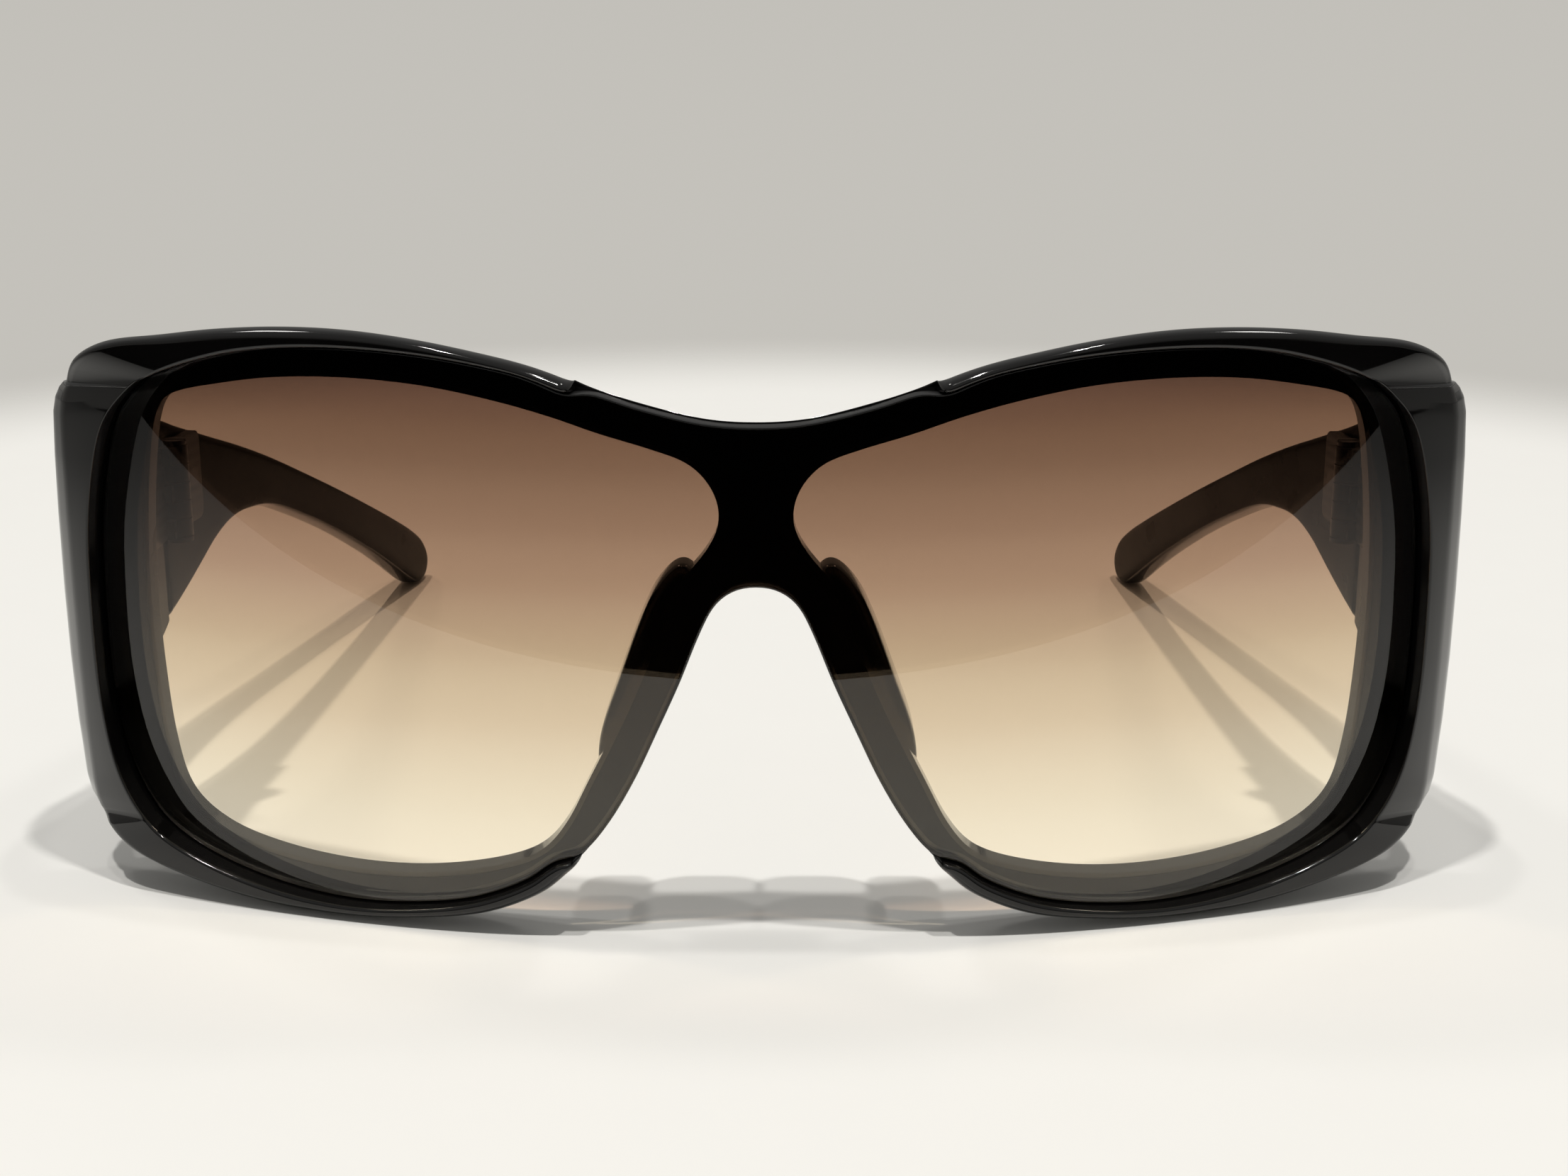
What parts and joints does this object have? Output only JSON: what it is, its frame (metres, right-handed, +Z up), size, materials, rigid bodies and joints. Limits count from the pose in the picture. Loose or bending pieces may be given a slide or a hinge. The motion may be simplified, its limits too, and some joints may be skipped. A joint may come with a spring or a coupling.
{
  "type": "shield sunglasses",
  "caption": "Oversized wraparound shield sunglasses: one-piece gradient lens in a raised glossy black rim, with two folding temples on vertical screw hinges.",
  "frame": {"origin": "centre of the glasses' footprint, on the surface that the rims and the temple tips rest on", "axes": "+X towards the wearer's left, +Y from the lens towards the wearer, +Z up"},
  "size_m": [0.1444, 0.1348, 0.0592],
  "materials": {
    "frame_black": "polished",
    "temple_black": "polished",
    "pad_black": "satin",
    "lens_tint": "gradient tint, brown at the top to pale yellow at the bottom",
    "bond_strip": "matte",
    "hinge_steel": "satin",
    "screw_steel": "polished",
    "core_metal": "satin",
    "collar_nylon": "matte"
  },
  "bodies": {
    "front": {"front_frame": "frame_black", "shield_lens": "lens_tint", "lens_bond_strip": "bond_strip", "nose_pad_left": "pad_black", "hinge_front_leaf_left": "hinge_steel", "front_leaf_screws_left": "screw_steel", "hinge_screw_left": "screw_steel", "hinge_collar_left": "collar_nylon", "nose_pad_right": "pad_black", "hinge_front_leaf_right": "hinge_steel", "front_leaf_screws_right": "screw_steel", "hinge_screw_right": "screw_steel", "hinge_collar_right": "collar_nylon"},
    "temple_left_arm": {"temple_left": "temple_black", "temple_core_left": "core_metal", "hinge_temple_leaf_left": "hinge_steel", "temple_leaf_screws_left": "screw_steel"},
    "temple_right_arm": {"temple_right": "temple_black", "temple_core_right": "core_metal", "hinge_temple_leaf_right": "hinge_steel", "temple_leaf_screws_right": "screw_steel"}
  },
  "joints": [
    {"name": "temple_left_fold", "type": "hinge", "parent": "front", "child": "temple_left_arm", "pos_m": [0.0626, -0.03325, 0.0372], "axis": [0, 0, 1], "range_deg": [0, 90]},
    {"name": "temple_right_fold", "type": "hinge", "parent": "front", "child": "temple_right_arm", "pos_m": [-0.0626, -0.03325, 0.0372], "axis": [0, 0, -1], "range_deg": [0, 80]}
  ]
}
